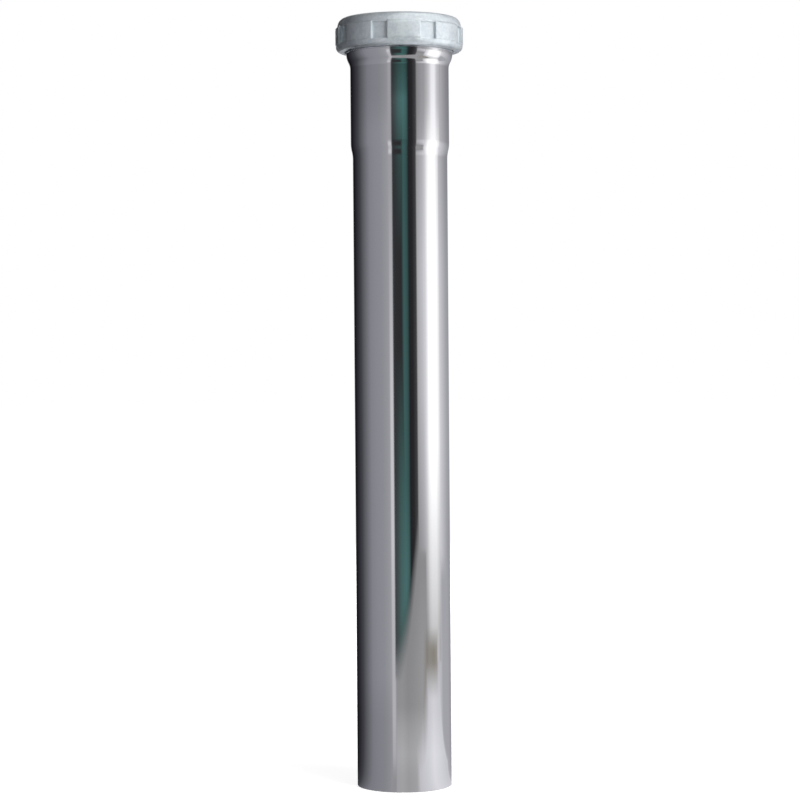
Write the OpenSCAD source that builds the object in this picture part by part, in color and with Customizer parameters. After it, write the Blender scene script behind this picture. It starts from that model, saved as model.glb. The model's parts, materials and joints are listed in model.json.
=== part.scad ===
// Slip-joint drain extension tube, standing on its plain end.
// A thin drawn tube with a bell and a rolled thread at its head, a die-cast slip nut screwed on that
// thread, and the bevelled rubber washer that the nut squeezes onto the pipe in the bell.
// The origin is the centre of the plain end's face, and the axis of the tube is +Z. Millimetres.

/* [Tube] */
// Outside diameter of the plain end, which slips into the next fitting
tube_od = 38.1; // [31.75:0.05:44.45]
// Wall of the drawn tube
tube_wall = 0.64; // [0.4:0.02:0.9]
// Length from the plain end to the rim inside the nut
tube_length = 304.8; // [152.4:0.1:406.4]

/* [Bell] */
// Clearance on radius between the bell and a pipe of the tube's own size
slip_clearance = 0.15; // [0.1:0.01:0.4]
// Depth of the bell, from the rim down to the shoulder
bell_depth = 45.5; // [30:0.1:60]
// Height of the drawn shoulder between the tube and the bell
shoulder_height = 6.6; // [4:0.1:10]

/* [Rolled thread] */
// Height of the flare between the bell and the threaded neck
flare_height = 6.2; // [4.5:0.1:8]
// How far the flare steps out, on radius
flare_rise = 1.56; // [1.2:0.02:2.2]
// Share of the flare that its lower, hollow curve takes
flare_share = 0.4; // [0.3:0.05:0.7]
// Height of the threaded neck above the flare
neck_height = 9.6; // [8:0.1:12]
// Advance of the thread for one turn, 11.5 turns to the inch
thread_pitch = 2.2087; // [1.9:0.0001:2.4]
// Height of the thread above the neck, on radius
thread_depth = 1.2; // [0.9:0.05:1.4]
// Neck left plain below the thread
thread_start = 1.3; // [0.3:0.1:2]
// Neck left plain above the thread
thread_margin = 0.3; // [0.3:0.05:0.8]

/* [Slip nut] */
// Height of the nut
nut_height = 13.3; // [12.8:0.1:16]
// Clearance on radius between the two threads
thread_clearance = 0.25; // [0.2:0.01:0.4]
// Wall of the nut between its thread and the floor of a recess
nut_wall = 1.45; // [1.2:0.05:2.5]
// Thickness of the inturned flange on top of the nut
nut_flange = 2; // [1.4:0.1:2.6]
// Clearance on radius between the flange and the pipe
flange_clearance = 0.75; // [0.4:0.05:1.2]
// Chamfer that leads the nut onto the thread
nut_lead_in = 0.5; // [0.3:0.05:0.8]

/* [Grip of the nut] */
// Number of finger pads around the nut
pad_count = 8; // [6:1:12]
// Angle that each recess between two pads takes
recess_angle = 15; // [8:0.5:20]
// How far a pad stands out of the recess floor
pad_depth = 1.4; // [0.8:0.1:2]
// How far a pad stands out of the ring below it
pad_step = 0.2; // [0.1:0.05:0.5]
// Height of the ring that runs below the pads
ring_height = 2.7; // [2.4:0.1:4.5]
// Height of a pad above that ring
pad_height = 7.2; // [5:0.1:7.8]
// Drop of a pad's sloped top edge
pad_slope = 0.7; // [0.3:0.05:1.2]
// Radius of the ring's lower edge
ring_round = 2; // [1:0.1:2.3]
// How far the crown at the top of the nut stands out of the recess floor
crown_out = 0.6; // [0.2:0.1:0.6]
// Width of the crown's rounded edge
crown_round = 2.7; // [1:0.1:3]
// Turn of the middle pad away from the front
pad_turn = 4.5; // [-20:0.5:20]

/* [Slip washer] */
// Clearance on radius between the washer and the pipe
washer_clearance = 0.15; // [0.1:0.01:0.4]
// Thickness of the washer's flange, between the rim and the nut
washer_flange = 2.3; // [1.5:0.1:3]
// Clearance on radius between the washer's flange and the nut
washer_side_gap = 0.35; // [0.3:0.05:0.5]
// Depth of the bevelled skirt that reaches into the neck
skirt_depth = 5.3; // [3:0.1:7]
// Clearance on radius between the skirt and the neck, at the rim
skirt_gap = 0.3; // [0.2:0.05:0.5]
// Thickness of the skirt at its tip
skirt_tip = 0.55; // [0.4:0.05:0.7]

/* [Hidden] */
$fn = 96;

// Steps in each rounded stretch of an outline, and in one turn of a thread
arc_steps = 12;
turn_steps = 48;
// Turn over which a thread rises from nothing to its full depth
run_out_steps = 12;
// How far a cutter reaches past the face that it starts from
reach = 0.2;

// The tube's radii, from the plain end up to the thread
tube_r = tube_od / 2;
bell_r = tube_r + slip_clearance + tube_wall;
neck_r = bell_r + flare_rise;
crest_r = neck_r + thread_depth;
// Heights of the shoulder, bell, flare and neck
bell_z = tube_length - bell_depth;
shoulder_z = bell_z - shoulder_height;
neck_z = tube_length - neck_height;
flare_z = neck_z - flare_height;
// The shoulder's two curves are equal
shoulder_share = 0.5;

// The thread's ridge is wide at its root and narrow at its crest
root_half = 0.43 * thread_pitch;
crest_half = 0.135 * thread_pitch;
flank_slope = (root_half - crest_half) / thread_depth;
// The wall keeps its thickness under the ridge, which leaves a smaller groove inside the neck
groove_half = root_half + tube_wall * (flank_slope - sqrt(1 + flank_slope * flank_slope));
groove_flat = 0.1;
groove_depth = (groove_half - groove_flat) / flank_slope;
// Play along the axis between the flanks of the two threads, on each side
flank_play = 0.15;
// Heights of the middle of the ridge, where it starts and where it ends
thread_z = neck_z + thread_start + root_half;
thread_top = tube_length - thread_margin - root_half;

// The nut sits home on the washer, and the washer on the rim
nut_top = tube_length + washer_flange + nut_flange;
flange_z = nut_top - nut_flange;
nut_z = nut_top - nut_height;
hole_r = tube_r + flange_clearance;
minor_r = neck_r + thread_clearance;
major_r = crest_r + thread_clearance;
floor_r = major_r + nut_wall;
pad_r = floor_r + pad_depth;
ring_r = pad_r - pad_step;
ring_z = nut_z + ring_height;
pad_z = ring_z + pad_height;
crown_r = floor_r + crown_out;
// Depth to which the pads are cut off the crown, which gives each recess a clean upper edge
crown_lip = 0.05;
pad_pitch = 360 / pad_count;
front = -90;

washer_r = tube_r + washer_clearance;
skirt_z = tube_length - skirt_depth;

// Points of an arc in the plane of radius and height, from one angle to another
function arc(centre, radii, from, to) = [
    for (i = [0:arc_steps])
        let (a = from + (to - from) * i / arc_steps)
            centre + [radii[0] * cos(a), radii[1] * sin(a)]
];

function reversed(points) = [for (i = [len(points) - 1:-1:0]) points[i]];

// S-shaped step of a drawn wall, from radius r0 at height z0 out to r1 at z1, made of two arcs that run
// into each other. The lower one, which curves outwards, takes its share of the step.
// An inset of one wall gives the inner face, whose arcs have the same centres.
function drawn_step(r0, z0, r1, z1, share, inset) =
    let (
        bend = 2 * atan((r1 - r0) / (z1 - z0)),
        both = (z1 - z0) / sin(bend),
        lower = both * share,
        upper = both - lower
    )
    concat(
        arc([r0 + lower, z0], (lower + inset) * [1, 1], 180, 180 - bend),
        arc([r1 - upper, z1], (upper - inset) * [1, 1], -bend, 0)
    );

// One face of the tube's wall, from the plain end to the rim
function wall_face(inset) = concat(
    [[tube_r - inset, 0]],
    drawn_step(tube_r, shoulder_z, bell_r, bell_z, shoulder_share, inset),
    drawn_step(bell_r, flare_z, neck_r, neck_z, flare_share, inset),
    [[neck_r - inset, tube_length]]
);

// Right-hand helical ridge whose section is a V cut short: base_half wide on each side at base_r,
// and narrower outwards along the flanks. It rises from the base and sinks back at its two ends.
module helical_ridge(base_r, base_half, tip_r, start_z, end_z) {
    steps = ceil(turn_steps * (end_z - start_z) / thread_pitch);
    sunk = 0.1;
    rings = [
        for (i = [0:steps])
            let (
                z = start_z + (end_z - start_z) * i / steps,
                turn = 360 * (z - thread_z) / thread_pitch,
                full = min(1, i / run_out_steps, (steps - i) / run_out_steps),
                depth = sunk + (tip_r - base_r - sunk) * full,
                half = base_half - depth * flank_slope
            )
            [
                for (p = [[0, base_half], [0, -base_half], [depth, -half], [depth, half]])
                    [(base_r + p[0]) * cos(turn), (base_r + p[0]) * sin(turn), z + p[1]]
            ]
    ];
    corners = len(rings[0]);
    sides = [
        for (i = [0:steps - 1], j = [0:corners - 1])
            let (
                a = i * corners + j,
                b = i * corners + (j + 1) % corners
            )
            each [[a + corners, a, b], [b + corners, a + corners, b]]
    ];
    ends = [
        [for (j = [corners - 1:-1:0]) j],
        [for (j = [0:corners - 1]) steps * corners + j]
    ];
    polyhedron(points = [for (ring = rings) each ring], faces = concat(sides, ends));
}

module extension_tube() {
    buried = tube_wall / 2;
    color([0.77, 0.78, 0.81])
        difference() {
            union() {
                rotate_extrude()
                    polygon(concat(wall_face(0), reversed(wall_face(tube_wall))));
                helical_ridge(neck_r - buried, root_half + buried * flank_slope, crest_r,
                              thread_z, thread_top);
            }
            rolled_groove();
        }
}

// The hollow that the rolls leave behind the ridge, inside the neck
module rolled_groove() {
    bore_r = neck_r - tube_wall;
    helical_ridge(bore_r - reach, groove_half + reach * flank_slope, bore_r + groove_depth,
                  thread_z, thread_top);
}

module slip_nut() {
    color([0.71, 0.75, 0.78])
        difference() {
            rotate_extrude()
                polygon(concat(nut_outside(), nut_inside()));
            nut_thread();
            for (i = [0:pad_count - 1])
                rotate([0, 0, front + pad_turn + (i + 0.5) * pad_pitch - recess_angle / 2])
                    recess();
        }
}

// Outer face of the nut from its lower face up to the hole in its flange
function nut_outside() = concat(
    arc([ring_r - ring_round, nut_z + ring_round], ring_round * [1, 1], -90, 0),
    [[ring_r, ring_z], [pad_r, ring_z + pad_step], [pad_r, pad_z - pad_slope]],
    arc([crown_r - crown_round, pad_z], [crown_round, nut_top - pad_z], 0, 90),
    [[hole_r, nut_top]]
);

function nut_inside() = [
    [hole_r, flange_z],
    [minor_r, flange_z],
    [minor_r, nut_z + nut_lead_in],
    [minor_r + nut_lead_in, nut_z]
];

// Groove that takes the tube's ridge with play, open at the nut's lower face
module nut_thread() {
    base_r = minor_r - reach;
    helical_ridge(
        base_r, root_half + flank_play - (base_r - neck_r) * flank_slope, major_r,
        nut_z - thread_pitch, thread_top + thread_pitch / 2
    );
}

// Space between two pads, which reaches in below the crown and takes the pads' sloped tops with it
module recess() {
    rotate_extrude(angle = recess_angle)
        polygon([
            [floor_r, ring_z],
            [pad_r + reach, ring_z],
            [pad_r + reach, nut_top],
            [crown_r - crown_lip, nut_top],
            [crown_r - crown_lip, pad_z - pad_slope],
            [floor_r, pad_z - pad_slope]
        ]);
}

module slip_washer() {
    color([0.12, 0.12, 0.13])
        rotate_extrude()
            polygon([
                [washer_r, skirt_z],
                [washer_r + skirt_tip, skirt_z],
                [neck_r - tube_wall - skirt_gap, tube_length],
                [minor_r - washer_side_gap, tube_length],
                [minor_r - washer_side_gap, flange_z],
                [washer_r, flange_z]
            ]);
}

extension_tube();
slip_nut();
slip_washer();
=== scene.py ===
"""Finishes and studio for the slip-joint drain extension tube: mirror chrome on a thin drawn tube,
a satin die-cast slip nut and a moulded rubber washer. Metres, in the frame of the solids."""

import json
from math import atan2, ceil, cos, degrees, hypot, pi, radians, sin, sqrt

import bmesh
import bpy
from mathutils import Matrix, Vector


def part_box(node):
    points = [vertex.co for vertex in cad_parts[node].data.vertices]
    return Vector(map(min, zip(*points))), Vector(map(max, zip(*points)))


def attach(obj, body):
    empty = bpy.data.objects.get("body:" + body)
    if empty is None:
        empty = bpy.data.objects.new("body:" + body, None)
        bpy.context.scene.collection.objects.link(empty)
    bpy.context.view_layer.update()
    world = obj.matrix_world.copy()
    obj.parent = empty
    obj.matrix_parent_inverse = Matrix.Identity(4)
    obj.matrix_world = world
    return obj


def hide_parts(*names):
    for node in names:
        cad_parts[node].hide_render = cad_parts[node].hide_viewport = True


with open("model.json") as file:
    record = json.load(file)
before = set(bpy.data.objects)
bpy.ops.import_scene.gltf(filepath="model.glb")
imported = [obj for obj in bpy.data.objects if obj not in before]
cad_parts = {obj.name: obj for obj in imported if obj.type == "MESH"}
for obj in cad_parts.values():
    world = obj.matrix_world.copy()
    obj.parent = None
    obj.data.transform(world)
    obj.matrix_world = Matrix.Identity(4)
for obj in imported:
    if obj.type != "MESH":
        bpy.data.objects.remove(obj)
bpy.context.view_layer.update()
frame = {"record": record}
MM = 0.001


# Sizes that the frame gives

def mount(name):
    return next(m for m in frame["record"]["mounts"] if m["name"] == name)["dims"]


TUBE_R = mount("spigot")["r_mm"] * MM
SHOULDER_Z = mount("spigot")["length_mm"] * MM
BELL_BORE_R = mount("socket")["r_mm"] * MM
BELL_LENGTH = mount("socket")["length_mm"] * MM
RIM_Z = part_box("extension_tube")[1].z
NUT_Z, NUT_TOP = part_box("slip_nut")[0].z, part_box("slip_nut")[1].z
PAD_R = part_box("slip_nut")[1].x
SKIRT_Z, WASHER_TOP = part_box("slip_washer")[0].z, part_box("slip_washer")[1].z
WASHER_SIDE_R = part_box("slip_washer")[1].x
THREAD_PITCH = frame["record"]["behaviour"]["couplings"][0]["ratio"] * 2 * pi

# Sizes of the tube's wall, flare and rolled thread. Halves of the thread's width are shares of its pitch.
WALL = 0.64 * MM
FLARE_HEIGHT = 6.2 * MM
FLARE_RISE = 1.56 * MM
FLARE_SHARE = 0.4
SHOULDER_SHARE = 0.5
NECK_HEIGHT = 9.6 * MM
THREAD_DEPTH = 1.2 * MM
THREAD_START = 1.3 * MM
THREAD_MARGIN = 0.3 * MM
BELL_R = BELL_BORE_R + WALL
NECK_R = BELL_R + FLARE_RISE
NECK_Z = RIM_Z - NECK_HEIGHT
FLARE_Z = NECK_Z - FLARE_HEIGHT
BELL_Z = FLARE_Z - BELL_LENGTH
ROOT_HALF = 0.43
CREST_HALF = 0.135
HOLLOW_CREST_HALF = 0.05
THREAD_Z = NECK_Z + THREAD_START + ROOT_HALF * THREAD_PITCH
THREAD_TOP = RIM_Z - THREAD_MARGIN - ROOT_HALF * THREAD_PITCH

# Sizes of the nut
THREAD_CLEARANCE = 0.25 * MM
THREAD_PLAY = 0.15 * MM
GROOVE_ROOT_HALF = ROOT_HALF - 0.05
FLANGE = 2 * MM
HOLE_R = TUBE_R + 0.75 * MM
PAD_DEPTH = 1.4 * MM
PAD_STEP = 0.2 * MM
PAD_HEIGHT = 7.2 * MM
PAD_SLOPE = 0.7 * MM
RING_HEIGHT = 2.7 * MM
RING_ROUND = 2 * MM
CROWN_OUT = 0.6 * MM
CROWN_ROUND = 2.7 * MM
LEAD_IN = 0.5 * MM
PADS = 8
RECESS_ANGLE = radians(15)
PAD_TURN = radians(4.5)
FRONT = radians(-90)
MINOR_R = NECK_R + THREAD_CLEARANCE
MAJOR_R = MINOR_R + THREAD_DEPTH
FLOOR_R = PAD_R - PAD_DEPTH
CROWN_R = FLOOR_R + CROWN_OUT
RING_R = PAD_R - PAD_STEP
RING_Z = NUT_Z + RING_HEIGHT
PAD_Z = RING_Z + PAD_HEIGHT

# Sizes of the washer
WASHER_BORE_R = TUBE_R + 0.15 * MM
SKIRT_TIP = 0.55 * MM
SKIRT_TOP_R = NECK_R - WALL - 0.3 * MM

# How finely things are turned: columns round the axis, and rows for each pitch of a thread
COLUMNS = 240
THREAD_ROWS = 14


# Outlines in the plane of radius and height

def arc(centre, radii, start, end, steps=10):
    """Points of an arc, angles in degrees."""
    angles = [radians(start + (end - start) * i / steps) for i in range(steps + 1)]
    return [(centre[0] + radii[0] * cos(a), centre[1] + radii[1] * sin(a)) for a in angles]


def drawn_step(r0, z0, r1, z1, share, inset):
    """S-shaped step of a drawn wall, made of two arcs.

    share: how much of the step the lower arc takes, which curves outwards.
    inset: 0 for the outer face, the wall's thickness for the inner one.
    """
    bend = 2 * atan2(r1 - r0, z1 - z0)
    both = (z1 - z0) / sin(bend)
    lower, upper = both * share, both * (1 - share)
    low_arc, high_arc = (lower + inset,) * 2, (upper - inset,) * 2
    return (arc((r0 + lower, z0), low_arc, 180, 180 - degrees(bend))
            + arc((r1 - upper, z1), high_arc, -degrees(bend), 0))


def stations(r, low, high, spacing):
    """Points up a straight wall, the two ends left out."""
    count = ceil((high - low) / spacing)
    return [(r, low + (high - low) * i / count) for i in range(1, count)]


def rounded(before, corner, after, radius, steps=4):
    """A corner of an outline, rounded off."""
    corner, before, after = Vector(corner), Vector(before), Vector(after)
    a, b = (before - corner).normalized(), (after - corner).normalized()
    start, end = corner + a * radius, corner + b * radius
    return [tuple((1 - t) ** 2 * start + 2 * t * (1 - t) * corner + t * t * end)
            for t in (i / steps for i in range(steps + 1))]


# Mesh tools

def lathe(outline, columns=COLUMNS):
    """Turns a closed outline round the axis."""
    bm = bmesh.new()
    verts = [bm.verts.new((r, 0, z)) for r, z in outline]
    edges = [bm.edges.new((a, b)) for a, b in zip(verts, verts[1:] + verts[:1])]
    bmesh.ops.spin(bm, geom=verts + edges, cent=(0, 0, 0), axis=(0, 0, 1), dvec=(0, 0, 0),
                   angle=2 * pi, steps=columns, use_merge=True, use_duplicate=False)
    bmesh.ops.remove_doubles(bm, verts=bm.verts, dist=0.001 * MM)
    bmesh.ops.recalc_face_normals(bm, faces=bm.faces)
    return bm


def turn_of(v):
    return atan2(v.co.y, v.co.x)


def radius_of(v):
    return hypot(v.co.x, v.co.y)


def set_radius(v, radius):
    share = radius / radius_of(v)
    v.co.x *= share
    v.co.y *= share


def thread_share(v, root_half, crest_half, low, high):
    """How far a right-hand thread stands at a vertex, 0 to 1. Its middle starts at low and ends at high."""
    turns = (v.co.z - THREAD_Z) / THREAD_PITCH - turn_of(v) / (2 * pi)
    away = turns - round(turns)
    middle = v.co.z - away * THREAD_PITCH
    run_out = THREAD_PITCH / 4
    full = min(1, (middle - low) / run_out, (high - middle) / run_out)
    flank = min(1, max(0, (root_half - abs(away)) / (root_half - crest_half)))
    return max(0, full) * flank * flank * (3 - 2 * flank)


def piece(name, bm, body, node, slot, *materials, sharp=35):
    """Turns a finished mesh into a piece that stands for a solid."""
    for face in bm.faces:
        face.smooth = True
    for edge in bm.edges:
        edge.smooth = len(edge.link_faces) == 2 and edge.calc_face_angle() < radians(sharp)
    mesh = bpy.data.meshes.new(name)
    bm.to_mesh(mesh)
    bm.free()
    obj = bpy.data.objects.new(name, mesh)
    bpy.context.scene.collection.objects.link(obj)
    for material in materials:
        mesh.materials.append(material)
    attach(obj, body)
    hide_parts(node)
    return obj


# Shaders

class Value:
    """A shader socket that takes part in arithmetic."""

    def __init__(self, shader, socket):
        self.shader, self.socket = shader, socket

    def maths(self, operation, *values, clamp=False):
        settings = {"operation": operation, "use_clamp": clamp}
        return self.shader.add("ShaderNodeMath", settings, dict(enumerate(values)))["Value"]

    def __add__(self, other):
        return self.maths("ADD", self, other)

    __radd__ = __add__

    def __sub__(self, other):
        return self.maths("SUBTRACT", self, other)

    def __rsub__(self, other):
        return self.maths("SUBTRACT", other, self)

    def __mul__(self, other):
        return self.maths("MULTIPLY", self, other)

    __rmul__ = __mul__

    def __truediv__(self, other):
        return self.maths("DIVIDE", self, other)

    def least(self, other):
        return self.maths("MINIMUM", self, other)

    def root(self):
        return self.maths("SQRT", self)

    def clamped(self):
        return self.maths("ADD", self, 0, clamp=True)


class Shader:
    """Builds a node tree.

    add() takes a node's type, its settings, and the values or links of its sockets.
    """

    def __init__(self, owner):
        owner.use_nodes = True
        self.tree = owner.node_tree
        self.tree.nodes.clear()

    def add(self, kind, settings=None, inputs=None):
        node = self.tree.nodes.new(kind)
        for name, value in (settings or {}).items():
            if name == "stops":
                self.set_stops(node.color_ramp, value)
            else:
                setattr(node, name, value)
        for key, value in (inputs or {}).items():
            socket = node.inputs[key] if isinstance(key, int) else self.find(node.inputs, key)
            if isinstance(value, Value):
                self.tree.links.new(value.socket, socket)
            else:
                socket.default_value = value
        return {output.name: Value(self, output) for output in node.outputs if output.enabled}

    @staticmethod
    def find(sockets, name):
        return next(socket for socket in sockets if socket.enabled and socket.name == name)

    @staticmethod
    def set_stops(ramp, stops):
        while len(ramp.elements) > 1:
            ramp.elements.remove(ramp.elements[-1])
        for i, (place, colour) in enumerate(stops):
            stop = ramp.elements[0] if i == 0 else ramp.elements.new(place)
            stop.position, stop.color = place, (*colour, 1)

    def place(self):
        return self.add("ShaderNodeTexCoord")["Object"]

    def parts(self, vector):
        split = self.add("ShaderNodeSeparateXYZ", None, {0: vector})
        return split["X"], split["Y"], split["Z"]

    def scaled(self, vector, scale):
        return self.add("ShaderNodeMapping", None, {"Vector": vector, "Scale": scale})["Vector"]

    def noise(self, vector, scale, detail=3.0, roughness=0.5):
        return self.add("ShaderNodeTexNoise", None,
                        {"Vector": vector, "Scale": scale, "Detail": detail, "Roughness": roughness})["Fac"]

    def shades(self, value, stops):
        return self.add("ShaderNodeValToRGB", {"stops": stops}, {"Fac": value})["Color"]

    def ramp(self, value, *stops):
        return self.shades(value, [(place, (v, v, v)) for place, v in stops])

    def blend(self, share, first, second):
        inputs = {"Factor": share, "A": first, "B": second}
        return self.add("ShaderNodeMix", {"data_type": "RGBA"}, inputs)["Result"]

    def bump(self, height, distance, strength=1.0, normal=None):
        inputs = {"Height": height, "Distance": distance, "Strength": strength}
        if normal is not None:
            inputs["Normal"] = normal
        return self.add("ShaderNodeBump", None, inputs)["Normal"]

    def surface(self, shader):
        self.add("ShaderNodeOutputMaterial", None, {"Surface": shader})


def material(name):
    made = bpy.data.materials.new(name)
    return made, Shader(made)


def chrome():
    """Bright plating: a near mirror, with the faintest haze from handling."""
    made, s = material("chrome_plate")
    place = s.place()
    haze = s.noise(s.scaled(place, (1, 1, 0.35)), 55, 4, 0.6)
    waves = s.noise(s.scaled(place, (1, 1, 0.12)), 60, 1)
    s.surface(s.add("ShaderNodeBsdfPrincipled", None, {
        "Base Color": (0.86, 0.86, 0.88, 1),
        "Metallic": 1.0,
        "Roughness": s.ramp(haze, (0.35, 0.035), (0.75, 0.07)),
        "Normal": s.bump(waves, 0.02 * MM, 0.25),
    })["BSDF"])
    return made


def bare_brass():
    """Unplated inner face of the tube: drawn brass, dulled, with the plating reaching a little way in."""
    made, s = material("bare_brass")
    place = s.place()
    height = s.parts(place)[2]
    grain = s.noise(s.scaled(place, (1, 1, 0.04)), 900, 2)
    tarnish = s.noise(place, 70, 5, 0.6)
    brass = s.blend(tarnish, (0.52, 0.40, 0.20, 1), (0.30, 0.21, 0.10, 1))
    inward = (height / (14 * MM)).least((RIM_Z - height) / (30 * MM)) + (tarnish - 0.5) * 0.8
    s.surface(s.add("ShaderNodeBsdfPrincipled", None, {
        "Base Color": s.blend(inward.clamped(), (0.70, 0.70, 0.70, 1), brass),
        "Metallic": 1.0,
        "Roughness": s.ramp(tarnish, (0.3, 0.28), (0.7, 0.45)),
        "Normal": s.bump(grain, 0.01 * MM, 0.5),
    })["BSDF"])
    return made


def cast_zinc():
    """Satin plating over a die casting: soft pits and flow marks under a pale, bluish skin."""
    made, s = material("cast_zinc")
    place = s.place()
    flow = s.noise(place, 260, 3)
    spots = s.noise(place, 900, 2)
    mottle = flow * 0.5 + spots * 0.5
    s.surface(s.add("ShaderNodeBsdfPrincipled", None, {
        "Base Color": s.shades(mottle, [(0.42, (0.61, 0.67, 0.71)), (0.58, (0.70, 0.755, 0.785))]),
        "Metallic": 0.6,
        "Roughness": s.ramp(flow, (0.4, 0.28), (0.6, 0.38)),
        "Normal": s.bump(spots, 0.02 * MM, 0.3, s.bump(flow, 0.12 * MM, 0.4)),
    })["BSDF"])
    return made


def rubber():
    """Moulded black rubber with a dusty bloom."""
    made, s = material("black_rubber")
    place = s.place()
    bloom = s.noise(place, 220, 5, 0.6)
    grain = s.noise(place, 2600, 2)
    s.surface(s.add("ShaderNodeBsdfPrincipled", None, {
        "Base Color": s.blend(bloom, (0.018, 0.018, 0.02, 1), (0.045, 0.045, 0.047, 1)),
        "Roughness": s.ramp(bloom, (0.3, 0.55), (0.7, 0.75)),
        "Specular IOR Level": 0.4,
        "Normal": s.bump(grain, 0.03 * MM, 0.4),
    })["BSDF"])
    return made


# The pieces

def wall_face(inset, spacing):
    """One face of the tube's wall, from the plain end up to the rim."""
    r = -inset
    row = THREAD_PITCH / THREAD_ROWS
    edge = 0.15 * MM
    end = rounded((TUBE_R - WALL / 2, 0), (TUBE_R + r, 0), (TUBE_R + r, 1), edge)
    rim = rounded((NECK_R + r, 0), (NECK_R + r, RIM_Z), (NECK_R - WALL / 2, RIM_Z), edge)
    return (end
            + stations(TUBE_R + r, edge, SHOULDER_Z, spacing)
            + drawn_step(TUBE_R, SHOULDER_Z, BELL_R, BELL_Z, SHOULDER_SHARE, inset)
            + stations(BELL_R + r, BELL_Z, FLARE_Z, spacing)
            + drawn_step(BELL_R, FLARE_Z, NECK_R, NECK_Z, FLARE_SHARE, inset)
            + stations(NECK_R + r, NECK_Z, RIM_Z - edge, row)
            + rim)


def make_tube(plating, bare):
    spacing = 12 * MM
    bm = lathe(wall_face(0, spacing) + wall_face(WALL, spacing)[::-1])
    slope = (ROOT_HALF - CREST_HALF) * THREAD_PITCH / THREAD_DEPTH
    hollow_half = ROOT_HALF + WALL * (slope - sqrt(1 + slope * slope)) / THREAD_PITCH
    hollow_depth = hollow_half * THREAD_PITCH / slope
    middle_r = NECK_R - WALL / 2
    for v in bm.verts:
        if v.co.z > NECK_Z and radius_of(v) > middle_r:
            share = thread_share(v, ROOT_HALF, CREST_HALF, THREAD_Z, THREAD_TOP)
            set_radius(v, radius_of(v) + THREAD_DEPTH * share)
        elif v.co.z > NECK_Z:
            share = thread_share(v, hollow_half, HOLLOW_CREST_HALF, THREAD_Z, THREAD_TOP)
            set_radius(v, radius_of(v) + hollow_depth * share)
    bm.normal_update()
    for face in bm.faces:
        centre = face.calc_center_median()
        outward = centre.x * face.normal.x + centre.y * face.normal.y > 0
        face.material_index = 0 if outward or abs(face.normal.z) > 0.9 else 1
    return piece("chromed_tube", bm, "tube", "extension_tube", "chrome_plate", plating, bare)


def nut_outline():
    row = THREAD_PITCH / THREAD_ROWS
    edge = 0.3 * MM
    low = (MINOR_R + LEAD_IN, NUT_Z)
    outside = (arc((RING_R - RING_ROUND, NUT_Z + RING_ROUND), (RING_ROUND, RING_ROUND), -90, 0)
               + [(RING_R, RING_Z), (PAD_R, RING_Z + PAD_STEP)]
               + stations(PAD_R, RING_Z + PAD_STEP, PAD_Z - PAD_SLOPE, 1.2 * MM)
               + [(PAD_R, PAD_Z - PAD_SLOPE)]
               + arc((CROWN_R - CROWN_ROUND, PAD_Z), (CROWN_ROUND, NUT_TOP - PAD_Z), 0, 90))
    hole = rounded((PAD_R, NUT_TOP), (HOLE_R, NUT_TOP), (HOLE_R, NUT_Z), edge)
    inside = [(HOLE_R, WASHER_TOP), (MINOR_R, WASHER_TOP)]
    wall = stations(MINOR_R, NUT_Z + LEAD_IN, WASHER_TOP, row)[::-1]
    return outside + hole + inside + wall + [(MINOR_R, NUT_Z + LEAD_IN), low]


def in_recess(turn):
    """Is this angle between two pads?"""
    pitch = 2 * pi / PADS
    away = (turn - FRONT - PAD_TURN - pitch / 2) % pitch
    return min(away, pitch - away) < RECESS_ANGLE / 2


def sink(bm, faces, radius):
    """Pushes a patch of the nut's side in to a radius, and walls it round."""
    patch = bmesh.ops.extrude_face_region(bm, geom=faces)["geom"]
    bmesh.ops.delete(bm, geom=faces, context="FACES")
    for v in patch:
        if isinstance(v, bmesh.types.BMVert):
            set_radius(v, min(radius, radius_of(v)))
    return [face for face in patch if isinstance(face, bmesh.types.BMFace)]


def make_nut(zinc):
    bm = lathe(nut_outline())
    bmesh.ops.rotate(bm, verts=bm.verts, cent=(0, 0, 0), matrix=Matrix.Rotation(FRONT + PAD_TURN, 3, "Z"))
    small = 0.01 * MM
    faces = []
    for face in bm.faces:
        centre = face.calc_center_median()
        on_grip = centre.xy.length > FLOOR_R and RING_Z < centre.z < PAD_Z
        if on_grip and in_recess(atan2(centre.y, centre.x)):
            faces.append(face)
    faces = sink(bm, faces, CROWN_R)
    sink(bm, [face for face in faces if face.calc_center_median().z < PAD_Z - PAD_SLOPE], FLOOR_R)
    bmesh.ops.remove_doubles(bm, verts=bm.verts, dist=0.002 * MM)
    bmesh.ops.recalc_face_normals(bm, faces=bm.faces)
    for v in bm.verts:
        if NUT_Z < v.co.z < WASHER_TOP and abs(radius_of(v) - MINOR_R) < small:
            share = thread_share(v, GROOVE_ROOT_HALF, CREST_HALF + THREAD_PLAY / THREAD_PITCH,
                                 NUT_Z - THREAD_PITCH, THREAD_TOP + THREAD_PITCH / 2)
            set_radius(v, MINOR_R + (MAJOR_R - MINOR_R) * share)
    edges = [e for e in bm.edges
             if min(radius_of(v) for v in e.verts) > FLOOR_R - small
             and min(v.co.z for v in e.verts) > RING_Z - small
             and e.calc_face_angle(0) > radians(25)]
    bmesh.ops.bevel(bm, geom=edges, offset=0.2 * MM, offset_type="OFFSET", segments=3, profile=0.5,
                    affect="EDGES", clamp_overlap=True, material=-1)
    return piece("slip_nut_casting", bm, "nut", "slip_nut", "cast_zinc", zinc)


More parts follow.
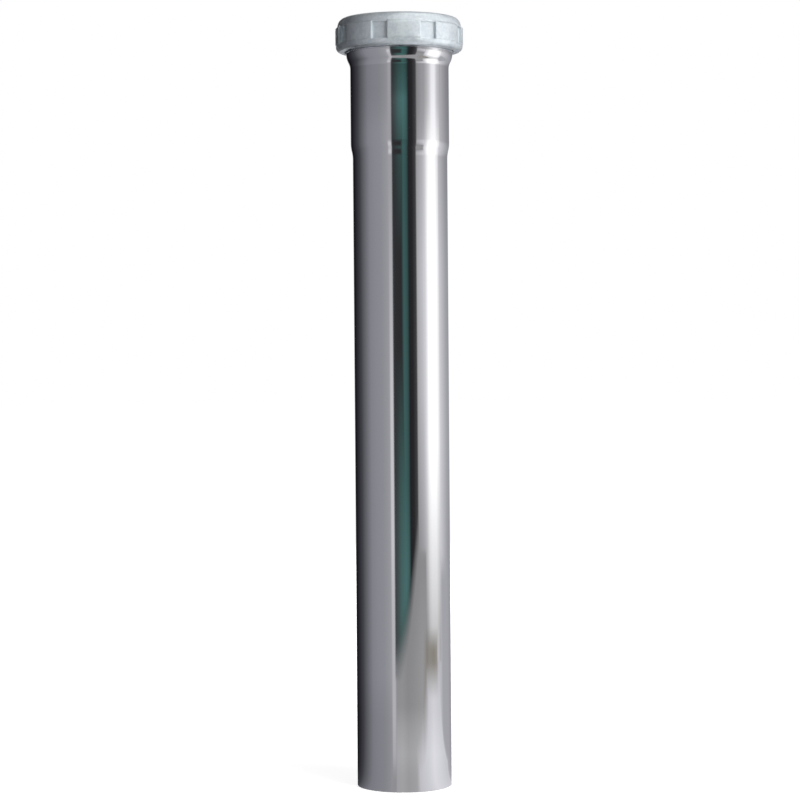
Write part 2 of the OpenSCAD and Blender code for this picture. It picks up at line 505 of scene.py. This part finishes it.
def make_washer(black):
    edge = 0.2 * MM
    corners = [(WASHER_BORE_R, SKIRT_Z), (WASHER_BORE_R + SKIRT_TIP, SKIRT_Z), (SKIRT_TOP_R, RIM_Z),
               (WASHER_SIDE_R, RIM_Z), (WASHER_SIDE_R, WASHER_TOP), (WASHER_BORE_R, WASHER_TOP)]
    outline = []
    for i, corner in enumerate(corners):
        outline += rounded(corners[i - 1], corner, corners[(i + 1) % len(corners)], edge)
    return piece("rubber_washer", lathe(outline), "washer", "slip_washer", "black_rubber", black)


# The studio

EYE_HEIGHT = 0.1735
EYE_DISTANCE = 0.960
LOOK_HEIGHT = 0.1557
LOOK_SIDE = -0.00075
LENS_MM = 106.93
ROLL = radians(-0.432)


def make_camera():
    data = bpy.data.cameras.new("camera")
    data.lens = LENS_MM
    data.sensor_width = 36
    obj = bpy.data.objects.new("camera", data)
    bpy.context.scene.collection.objects.link(obj)
    obj.location = (0, -EYE_DISTANCE, EYE_HEIGHT)
    aim = Vector((LOOK_SIDE, 0, LOOK_HEIGHT)) - obj.location
    turn = aim.to_track_quat("-Z", "Y").to_matrix() @ Matrix.Rotation(ROLL, 3, "Z")
    obj.rotation_euler = turn.to_euler()
    bpy.context.scene.camera = obj


def linear(level):
    """The light that shows as this grey, 0 to 255, on screen."""
    share = level / 255
    return share / 12.92 if share < 0.04 else ((share + 0.055) / 1.055) ** 2.4


def stage_mesh(name, bm, mat):
    mesh = bpy.data.meshes.new(name)
    bm.to_mesh(mesh)
    bm.free()
    obj = bpy.data.objects.new(name, mesh)
    bpy.context.scene.collection.objects.link(obj)
    mesh.materials.append(mat)
    return obj


def glossy_only(obj):
    obj.visible_camera = False
    obj.visible_diffuse = False
    obj.visible_shadow = False
    obj.visible_transmission = False


# The reflection tent round the tube: glowing panels whose shades paint the lit and shaded studio that the
# plating mirrors, a painted reflection. Only mirror-like reflections see it. Azimuths are in degrees, 0
# towards the camera and + to its right. A round mirror sees the world from half its radius in, so the tent
# and its azimuths are centred there. Shades are what a shade shows in the plating, 0 to 255.
TENT_TOP = 1.6
CHROME_SHARE = 0.86
FOCUS = TUBE_R / 2
TENT_FOOT = FOCUS - 1 * MM
# Each panel hangs this much above the one before it
LIFT = 0.01 * MM
# How far a straight edge draws in for each unit of height
EDGE_SLOPE = 2.35


class Panel:
    """One glowing panel of the tent. It stands for a cloth, scrim, table or lamp front, and its emission
    paints how lit or shaded that thing shows in the plating.

    shades: stops across it, azimuth and colour. soft: how many degrees its sides fade over.
    path: its section, as radius and height. ends: over what lengths the section fades in and out.
    run: stops along that section, radius + height and share of full brightness, painted light and shade
    along the panel.
    edges: straight edges, each an azimuth, how far out that way the cloth starts, and over what length.
    """

    def __init__(self, name, shades, soft, path, run=((0, 1),), ends=(0.001, 0.001), edges=()):
        self.name, self.shades, self.soft, self.path = name, shades, soft, path
        self.run, self.ends, self.edges = run, ends, edges
        self.start, self.end = shades[0][0], shades[-1][0]

    def material(self):
        made, s = material(self.name)
        x, y, z = s.parts(s.place())
        y = y + FOCUS
        distance = (x * x + y * y).root()
        azimuth = x.maths("ARCTAN2", x, 0 - y) * degrees(1)
        along = distance + z
        first, last = (r + h for r, h in (self.path[0], self.path[-1]))
        cover = ((azimuth - self.start) / self.soft).least((self.end - azimuth) / self.soft)
        cover = cover.least((along - first) / self.ends[0]).least((last - along) / self.ends[1])
        for direction, reach, blur in self.edges:
            turn = radians(direction - 90)
            cover = cover.least((x * cos(turn) + y * sin(turn) + z * EDGE_SLOPE - reach) / blur)
        across = s.shades((azimuth - self.start) / (self.end - self.start),
                          [((a - self.start) / (self.end - self.start), glow(c)) for a, c in self.shades])
        bright = s.shades((along - first) / (last - first),
                          [((v - first) / (last - first), (share,) * 3) for v, share in self.run])
        colour = s.add("ShaderNodeMix", {"data_type": "RGBA", "blend_type": "MULTIPLY"},
                       {"Factor": 1.0, "A": across, "B": bright})["Result"]
        lit = s.add("ShaderNodeEmission", None, {"Color": colour})["Emission"]
        clear = s.add("ShaderNodeBsdfTransparent")["BSDF"]
        s.surface(s.add("ShaderNodeMixShader", None, {0: cover.clamped(), 1: clear, 2: lit})["Shader"])
        return made

    def hang(self, lift):
        bm = bmesh.new()
        turn = radians(self.start - 90)
        points = [bm.verts.new((r * cos(turn), r * sin(turn), h)) for r, h in self.path]
        rail = [bm.edges.new(pair) for pair in zip(points, points[1:])]
        bmesh.ops.spin(bm, geom=points + rail, cent=(0, 0, 0), axis=(0, 0, 1), dvec=(0, 0, 0),
                       angle=radians(self.end - self.start), steps=ceil((self.end - self.start) / 2))
        bmesh.ops.translate(bm, verts=bm.verts, vec=(0, -FOCUS, lift))
        glossy_only(stage_mesh(self.name, bm, self.material()))


def glow(shade):
    return tuple(linear(level) / CHROME_SHARE for level in shade)


def grey(level, blue=0):
    return (level, level, level + blue)


def tent(radius, foot=TENT_FOOT):
    """Section of a panel that lies on the floor from near the tube and then stands up."""
    return [(foot, 0), (radius, 0), (radius, TENT_TOP)]


PANELS = [
    Panel("left_scrim",
          [(-190, grey(175, 4)), (-172, grey(170, 4)), (-163, grey(60, 2)), (-158, grey(14)),
           (-148, grey(24, 4)), (-130, grey(46, 6)), (-115, grey(65, 6)), (-97, grey(101, 6)),
           (-80, grey(128, 7)), (-66, grey(134, 7)), (-48, grey(138, 6)), (-36, grey(146, 5)),
           (-17, grey(162, 3)), (-8, grey(162, 3))],
          2, tent(1.2), run=((0.03, 0.88), (0.2, 0.88), (0.35, 1), (1.57, 1), (1.61, 0.86))),
    Panel("right_scrim",
          [(20, grey(140)), (34, grey(150)), (42, grey(168, 2)), (54, grey(188, 4)), (60, grey(210, 3)),
           (66, grey(238, 3)), (72, grey(246, 3))],
          3, tent(1.2), run=((0.5, 0.5), (0.8, 0.62), (1.2, 0.7), (1.26, 0.84), (1.34, 1), (1.45, 1.05),
                             (1.54, 0.85), (1.6, 0.62))),
    Panel("back_scrim",
          [(84, grey(240, 2)), (100, grey(232, 3)), (107, grey(208, 4)), (116, grey(193, 4)),
           (126, grey(178, 4)), (138, grey(162, 6)), (160, grey(148, 6)), (181, grey(175, 4)),
           (190, grey(175, 4))],
          3, tent(1.2), run=((1.2, 0.9), (1.3, 1), (1.45, 0.93), (1.54, 0.75), (1.62, 0.65))),
    Panel("bright_edge", [(-30, grey(195, 3)), (-18, grey(195, 3))],
          3.5, tent(1.19), run=((0.03, 0.5), (0.1, 0.72), (0.2, 0.78), (0.5, 0.8), (0.8, 0.88), (1.23, 1),
                                (1.33, 0.97), (1.44, 0.75), (1.53, 0.6))),
    Panel("grey_table",
          [(-20, grey(140, 2)), (-4, grey(142, 1)), (10, grey(135, 1)), (24, grey(139, 1)),
           (46, grey(148, 1)), (104, grey(150, 1))],
          3, [(TENT_FOOT, 0), (1.17, 0)],
          run=((0.03, 1.3), (0.1, 1.45), (0.18, 1.25), (0.24, 1.02), (0.4, 1), (1.0, 0.85))),
    Panel("black_cloth",
          [(-21.5, (66, 68, 68)), (0, (66, 82, 80)), (12, (58, 78, 76)), (19, grey(34, 2)),
           (28, grey(38, 2)), (35, grey(60, 2)), (40, grey(76, 2))],
          3, [(0.34, 0), (0.34, 0.38)], ends=(0.001, 0.03), edges=((-22, 0.327, 0.06),)),
    Panel("teal_cloth",
          [(-19.5, (50, 52, 54)), (-11, (55, 66, 67)), (-3, (58, 84, 82)), (8, (60, 93, 91)),
           (14, (55, 84, 82)), (20, (34, 48, 48))],
          3, [(0.339, 0), (0.339, 0.38)], ends=(0.001, 0.03), edges=((-22, 0.357, 0.05),),
          run=((0.362, 1.45), (0.405, 1.3), (0.445, 1), (0.612, 0.9), (0.65, 1.45), (0.66, 0.7))),
    Panel("camera_stand", [(-19.5, grey(46, 2)), (6, grey(42, 1))],
          5, [(0.338, 0.106), (0.338, 0.303)], ends=(0.072, 0.075)),
    Panel("back_floor",
          [(84, grey(160, 3)), (93, grey(178, 3)), (102, grey(184, 5)), (110, grey(162, 5)),
           (134, grey(160, 5)), (150, grey(148, 6)), (165, grey(150, 4)), (181, grey(160, 4)),
           (190, grey(160, 4))],
          4, [(TENT_FOOT, 0), (1.15, 0)], ends=(0.001, 0.25)),
    Panel("softbox",
          [(56, grey(190, 2)), (62, grey(215, 2)), (69, grey(258)), (76, grey(272)), (90, grey(272)),
           (97, grey(252)), (106, grey(222))],
          4, [(0.41, 0), (0.41, 0.45)],
          run=((0.421, 0.45), (0.443, 0.56), (0.465, 0.66), (0.489, 0.78), (0.512, 0.9), (0.533, 1),
               (0.646, 1), (0.721, 0.82))),
    Panel("ceiling",
          [(-190, grey(110)), (-100, grey(80, 4)), (-30, grey(110, 4)), (10, grey(190)), (60, grey(240)),
           (110, grey(220)), (160, grey(150)), (190, grey(110))],
          3, [(0.02, TENT_TOP), (1.25, TENT_TOP)]),
    Panel("scrim_over_softbox",
          [(48, grey(150, 2)), (58, grey(156, 2)), (66, grey(182, 2)), (72, grey(204, 2)),
           (79, grey(240, 2)), (88, grey(244, 2)), (95, grey(204, 2)), (103, grey(182, 2)),
           (110, grey(168, 2))],
          4, [(0.405, 0.285), (0.405, 0.45)], ends=(0.03, 0.02), run=((0.715, 1), (0.742, 0.9))),
    # painted shade: the table's shadow under the softbox, a panel glowing dimmer than the paper beside it
    Panel("shaded_table",
          [(46, (150, 148, 146)), (52, (144, 142, 138)), (58, (130, 127, 122)), (66, (138, 134, 127)),
           (78, (134, 130, 121)), (92, (148, 143, 138))],
          4, [(TENT_FOOT, 0), (0.409, 0), (0.409, 0.02)], ends=(0.001, 0.012)),
    Panel("paper",
          [(30, grey(185, 3)), (46, grey(198, 4)), (60, grey(206, 5)), (76, grey(220, 3)),
           (96, grey(210, 5)), (130, grey(190, 5))],
          8, [(TENT_FOOT, 0), (0.405, 0)], ends=(0.001, 0.14), run=((0.02, 0.96), (0.1, 1), (0.22, 0.88)),
          edges=((157, -0.075, 0.055), (0, -0.051, 0.012))),
]


def make_tent():
    for i, panel in enumerate(PANELS):
        panel.hang((i + 1) * LIFT)


# How far out the floor is lifted to white, and the share of the world's light that isn't seen directly
SWEEP = 2
FILL = 0.1


def make_floor():
    """White paper sweep. What the camera sees is lifted to white, and keeps the shadow at the foot."""
    made, s = material("white_floor")
    path = s.add("ShaderNodeLightPath")
    seen = (path["Is Camera Ray"] + path["Is Glossy Ray"] + path["Is Transmission Ray"]).clamped()
    paper = s.add("ShaderNodeBsdfDiffuse", None, {"Color": (0.5, 0.5, 0.5, 1)})["BSDF"]
    x, y, _ = s.parts(s.place())
    away = (x * x + y * y).root()
    share = s.ramp(away / SWEEP, (0, 0.72), (0.1, 0.74), (0.25, 0.82), (0.5, 0.91), (1, 0.97))
    lift = s.add("ShaderNodeEmission", None, {"Color": s.blend(seen, (0, 0, 0, 1), share)})["Emission"]
    s.surface(s.add("ShaderNodeAddShader", None, {0: paper, 1: lift})["Shader"])
    bm = bmesh.new()
    bmesh.ops.create_circle(bm, cap_ends=True, segments=96, radius=8)
    stage_mesh("floor", bm, made)


def make_world():
    world = bpy.data.worlds.new("world")
    bpy.context.scene.world = world
    s = Shader(world)
    path = s.add("ShaderNodeLightPath")
    direct = path["Is Camera Ray"] + path["Is Glossy Ray"] + path["Is Transmission Ray"]
    strength = FILL + direct.clamped() * (1 - FILL)
    light = s.add("ShaderNodeBackground", None, {"Color": (1, 1, 1, 1), "Strength": strength})["Background"]
    s.add("ShaderNodeOutputWorld", None, {"Surface": light})


# The height on the tube that the lamps point at
LAMP_AIM = 0.2


def make_lamp(name, azimuth, distance, height, size, watts):
    """A soft lamp. Azimuths are in degrees, 0 towards the camera and + to its right."""
    data = bpy.data.lights.new(name, "AREA")
    data.shape = "RECTANGLE"
    data.size, data.size_y = size
    data.energy = watts
    obj = bpy.data.objects.new(name, data)
    bpy.context.scene.collection.objects.link(obj)
    turn = radians(azimuth - 90)
    obj.location = (distance * cos(turn), distance * sin(turn), height)
    aim = Vector((0, 0, LAMP_AIM)) - obj.location
    obj.rotation_euler = aim.to_track_quat("-Z", "Y").to_euler()
    obj.visible_glossy = False
    obj.visible_camera = False


def make_lights():
    make_lamp("softbox_lamp", 43, 1.0, 0.45, (0.4, 0.5), 14)
    make_lamp("top_lamp", 40, 0.6, 1.3, (0.6, 0.6), 4)
    make_lamp("back_lamp", 192, 1.0, 0.6, (0.6, 0.6), 10)


make_camera()
make_tube(chrome(), bare_brass())
make_nut(cast_zinc())
make_washer(rubber())
make_floor()
make_tent()
make_world()
make_lights()
bpy.context.scene.view_settings.view_transform = "Standard"
